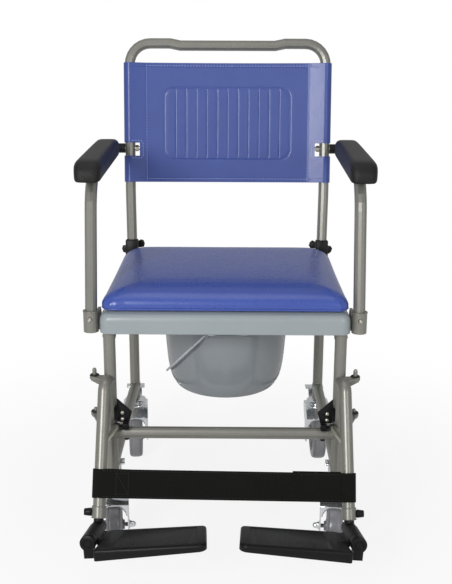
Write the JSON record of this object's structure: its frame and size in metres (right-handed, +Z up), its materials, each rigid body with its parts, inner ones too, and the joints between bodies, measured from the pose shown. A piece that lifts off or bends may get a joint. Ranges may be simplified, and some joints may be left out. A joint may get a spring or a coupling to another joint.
{
  "type": "wheeled commode chair",
  "caption": "Commode chair on braked swivel castors with lift-off cushion, slide-out bucket, hinged arms and swing-away footrests.",
  "frame": {"origin": "on the floor, at the middle of the area that the chair covers", "axes": "+Z up, the sitter faces -Y, +X towards the right-hand side as seen from the front"},
  "size_m": [0.5494, 0.7388, 0.941],
  "materials": {
    "silver_grey_paint": "satin",
    "zinc_plate": "satin",
    "chrome": "polished",
    "black_plastic": "satin",
    "black_skin_foam": "leather grain",
    "blue_vinyl": "smooth vinyl",
    "light_grey_plastic": "gloss",
    "grey_plastic": "gloss",
    "pale_plastic": "gloss",
    "grey_rubber": "satin",
    "black_webbing": "woven"
  },
  "bodies": {
    "chair_frame": {"front_leg_left": "silver_grey_paint", "front_leg_right": "silver_grey_paint", "rear_leg_left": "silver_grey_paint", "rear_leg_right": "silver_grey_paint", "lower_rail_left": "silver_grey_paint", "lower_rail_right": "silver_grey_paint", "seat_rail_left": "silver_grey_paint", "seat_rail_right": "silver_grey_paint", "front_cross_tube": "silver_grey_paint", "seat_rear_tube": "silver_grey_paint", "back_collar_left": "black_plastic", "back_collar_right": "black_plastic", "seat_moulding": "light_grey_plastic", "latch_plate_left": "black_plastic", "latch_plate_right": "black_plastic"},
    "cushion": {"seat_cushion": "blue_vinyl"},
    "bucket_body": {"bucket": "grey_plastic"},
    "bail": {"bucket_bail": "pale_plastic"},
    "back_rest": {"back_frame": "silver_grey_paint", "back_sling": "blue_vinyl", "arm_bolt_left": "zinc_plate", "arm_bolt_right": "zinc_plate"},
    "castor_front_left": {"castor_fork_front_left": "chrome"},
    "wheel_front_left": {"castor_wheel_front_left": "grey_rubber"},
    "brake_front_left": {"brake_pedal_front_left": "chrome"},
    "castor_front_right": {"castor_fork_front_right": "chrome"},
    "wheel_front_right": {"castor_wheel_front_right": "grey_rubber"},
    "brake_front_right": {"brake_pedal_front_right": "chrome"},
    "castor_rear_left": {"castor_fork_rear_left": "chrome"},
    "wheel_rear_left": {"castor_wheel_rear_left": "grey_rubber"},
    "brake_rear_left": {"brake_pedal_rear_left": "chrome"},
    "castor_rear_right": {"castor_fork_rear_right": "chrome"},
    "wheel_rear_right": {"castor_wheel_rear_right": "grey_rubber"},
    "brake_rear_right": {"brake_pedal_rear_right": "chrome"},
    "wing_screw_left": {"wing_knob_left": "black_plastic"},
    "arm_left": {"arm_tube_left": "silver_grey_paint", "arm_pad_left": "black_skin_foam", "arm_link_left": "black_plastic", "arm_foot_left": "silver_grey_paint"},
    "arm_release_left": {"arm_button_left": "zinc_plate"},
    "leg_rest_left": {"hanger_left": "silver_grey_paint", "calf_strap_left": "black_webbing"},
    "height_screw_left": {"height_knob_left": "black_plastic"},
    "latch_left": {"latch_catch_left": "black_plastic"},
    "foot_carriage_left": {"foot_carrier_left": "black_plastic", "pivot_cap_left": "black_plastic"},
    "foot_rest_left": {"footplate_left": "black_plastic"},
    "wing_screw_right": {"wing_knob_right": "black_plastic"},
    "arm_right": {"arm_tube_right": "silver_grey_paint", "arm_pad_right": "black_skin_foam", "arm_link_right": "black_plastic", "arm_foot_right": "silver_grey_paint"},
    "arm_release_right": {"arm_button_right": "zinc_plate"},
    "leg_rest_right": {"hanger_right": "silver_grey_paint", "calf_strap_right": "black_webbing"},
    "height_screw_right": {"height_knob_right": "black_plastic"},
    "latch_right": {"latch_catch_right": "black_plastic"},
    "foot_carriage_right": {"foot_carrier_right": "black_plastic", "pivot_cap_right": "black_plastic"},
    "foot_rest_right": {"footplate_right": "black_plastic"}
  },
  "joints": [
    {"name": "swivel_front_left", "type": "hinge", "parent": "chair_frame", "child": "castor_front_left", "pos_m": [-0.2115, -0.1266, 0.1346], "axis": [0, 0, 1], "continuous": true},
    {"name": "roll_front_left", "type": "hinge", "parent": "castor_front_left", "child": "wheel_front_left", "pos_m": [-0.20878, -0.15246, 0.04957], "axis": [0.9945, 0.1045, 0], "continuous": true},
    {"name": "brake_front_left", "type": "hinge", "parent": "castor_front_left", "child": "brake_front_left", "pos_m": [-0.21464, -0.09676, 0.112], "axis": [-0.9945, -0.1045, 0], "range_deg": [0, 12]},
    {"name": "swivel_front_right", "type": "hinge", "parent": "chair_frame", "child": "castor_front_right", "pos_m": [0.2115, -0.1266, 0.1346], "axis": [0, 0, 1], "continuous": true},
    {"name": "roll_front_right", "type": "hinge", "parent": "castor_front_right", "child": "wheel_front_right", "pos_m": [0.20878, -0.15246, 0.04957], "axis": [0.9945, -0.1045, 0], "continuous": true},
    {"name": "brake_front_right", "type": "hinge", "parent": "castor_front_right", "child": "brake_front_right", "pos_m": [0.21464, -0.09676, 0.112], "axis": [-0.9945, 0.1045, 0], "range_deg": [0, 12]},
    {"name": "swivel_rear_left", "type": "hinge", "parent": "chair_frame", "child": "castor_rear_left", "pos_m": [-0.2115, 0.2844, 0.1346], "axis": [0, 0, 1], "continuous": true},
    {"name": "roll_rear_left", "type": "hinge", "parent": "castor_rear_left", "child": "wheel_rear_left", "pos_m": [-0.20923, 0.2585, 0.04957], "axis": [0.9962, 0.0872, 0], "continuous": true},
    {"name": "brake_rear_left", "type": "hinge", "parent": "castor_rear_left", "child": "brake_rear_left", "pos_m": [-0.21411, 0.31429, 0.112], "axis": [-0.9962, -0.0872, 0], "range_deg": [0, 12]},
    {"name": "swivel_rear_right", "type": "hinge", "parent": "chair_frame", "child": "castor_rear_right", "pos_m": [0.2115, 0.2844, 0.1346], "axis": [0, 0, 1], "continuous": true},
    {"name": "roll_rear_right", "type": "hinge", "parent": "castor_rear_right", "child": "wheel_rear_right", "pos_m": [0.21241, 0.25842, 0.04957], "axis": [0.9994, 0.0349, 0], "continuous": true},
    {"name": "brake_rear_right", "type": "hinge", "parent": "castor_rear_right", "child": "brake_rear_right", "pos_m": [0.21045, 0.31438, 0.112], "axis": [-0.9994, -0.0349, 0], "range_deg": [0, 12]},
    {"name": "cushion_lift", "type": "slide", "parent": "chair_frame", "child": "cushion", "axis": [0, 0, 1], "range_m": [0, 0.1]},
    {"name": "bucket_slide", "type": "slide", "parent": "chair_frame", "child": "bucket_body", "axis": [0, 1, 0], "range_m": [0, 0.3]},
    {"name": "bail_swing", "type": "hinge", "parent": "bucket_body", "child": "bail", "pos_m": [0, 0.0634, 0.4005], "axis": [0.2857, 0.9583, 0], "range_deg": [0, 36]},
    {"name": "back_lift", "type": "slide", "parent": "chair_frame", "child": "back_rest", "axis": [0, 0.1392, 0.9903], "range_m": [0, 0.08]},
    {"name": "wing_screw_left", "type": "hinge", "parent": "chair_frame", "child": "wing_screw_left", "pos_m": [-0.2115, 0.31307, 0.48749], "axis": [0, 0.9903, -0.1392], "continuous": true},
    {"name": "arm_swing_left", "type": "hinge", "parent": "back_rest", "child": "arm_left", "pos_m": [-0.2135, 0.32221, 0.707], "axis": [-1, 0, 0], "range_deg": [0, 65]},
    {"name": "arm_button_left", "type": "slide", "parent": "arm_left", "child": "arm_release_left", "axis": [0, 1, 0], "range_m": [0, 0.0035], "stiffness_N_per_m": 300},
    {"name": "leg_swing_left", "type": "hinge", "parent": "chair_frame", "child": "leg_rest_left", "pos_m": [-0.2405, -0.1266, 0.3365], "axis": [0, 0, -1], "range_deg": [0, 90]},
    {"name": "latch_slide_left", "type": "slide", "parent": "chair_frame", "child": "latch_left", "axis": [1, 0, 0], "range_m": [0, 0.008], "stiffness_N_per_m": 200},
    {"name": "foot_height_left", "type": "slide", "parent": "leg_rest_left", "child": "foot_carriage_left", "axis": [-0.0159, -0.4067, -0.9134], "range_m": [0, 0.04]},
    {"name": "height_screw_left", "type": "hinge", "parent": "leg_rest_left", "child": "height_screw_left", "pos_m": [-0.2229, -0.24528, 0.12755], "axis": [-1, 0, 0], "continuous": true},
    {"name": "foot_flip_left", "type": "hinge", "parent": "foot_carriage_left", "child": "foot_rest_left", "pos_m": [-0.22333, -0.25626, 0.10289], "axis": [-0.0858, -0.9811, 0.1736], "range_deg": [0, 85]},
    {"name": "wing_screw_right", "type": "hinge", "parent": "chair_frame", "child": "wing_screw_right", "pos_m": [0.2115, 0.31307, 0.48749], "axis": [0, 0.9903, -0.1392], "continuous": true},
    {"name": "arm_swing_right", "type": "hinge", "parent": "back_rest", "child": "arm_right", "pos_m": [0.2135, 0.32221, 0.707], "axis": [-1, 0, 0], "range_deg": [0, 65]},
    {"name": "arm_button_right", "type": "slide", "parent": "arm_right", "child": "arm_release_right", "axis": [0, 1, 0], "range_m": [0, 0.0035], "stiffness_N_per_m": 300},
    {"name": "leg_swing_right", "type": "hinge", "parent": "chair_frame", "child": "leg_rest_right", "pos_m": [0.2405, -0.1266, 0.3365], "axis": [0, 0, 1], "range_deg": [0, 90]},
    {"name": "latch_slide_right", "type": "slide", "parent": "chair_frame", "child": "latch_right", "axis": [-1, 0, 0], "range_m": [0, 0.008], "stiffness_N_per_m": 200},
    {"name": "foot_height_right", "type": "slide", "parent": "leg_rest_right", "child": "foot_carriage_right", "axis": [0.0159, -0.4067, -0.9134], "range_m": [0, 0.04]},
    {"name": "height_screw_right", "type": "hinge", "parent": "leg_rest_right", "child": "height_screw_right", "pos_m": [0.2229, -0.24528, 0.12755], "axis": [1, 0, 0], "continuous": true},
    {"name": "foot_flip_right", "type": "hinge", "parent": "foot_carriage_right", "child": "foot_rest_right", "pos_m": [0.22333, -0.25626, 0.10289], "axis": [-0.0858, 0.9811, -0.1736], "range_deg": [0, 85]}
  ]
}
